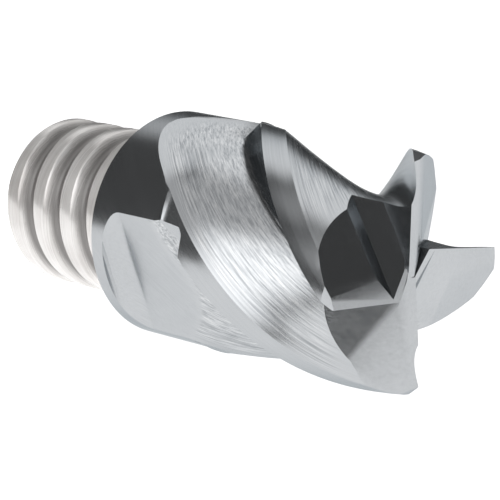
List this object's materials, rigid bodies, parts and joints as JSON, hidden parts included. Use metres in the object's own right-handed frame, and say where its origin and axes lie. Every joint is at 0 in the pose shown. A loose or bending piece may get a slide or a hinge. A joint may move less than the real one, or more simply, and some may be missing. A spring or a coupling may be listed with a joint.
{
  "type": "screw-in milling head",
  "caption": "Screw-in milling head with helical end teeth of unequal spacing, two spanner flats and a coarse round-thread stud.",
  "frame": {"origin": "centre of the seat plane, where the back face of the head meets its holder", "axes": "+X along the tool axis towards the end teeth; the first long end edge stands close to +Z"},
  "size_m": [0.0445, 0.02, 0.02],
  "materials": {
    "coated_carbide": "ground, hard coated, satin",
    "braze_alloy": "brazed",
    "stud_steel": "fine turned, bright"
  },
  "bodies": {
    "root": {"cutting_head": "coated_carbide", "braze_film": "braze_alloy", "threaded_stud": "stud_steel"}
  },
  "joints": []
}
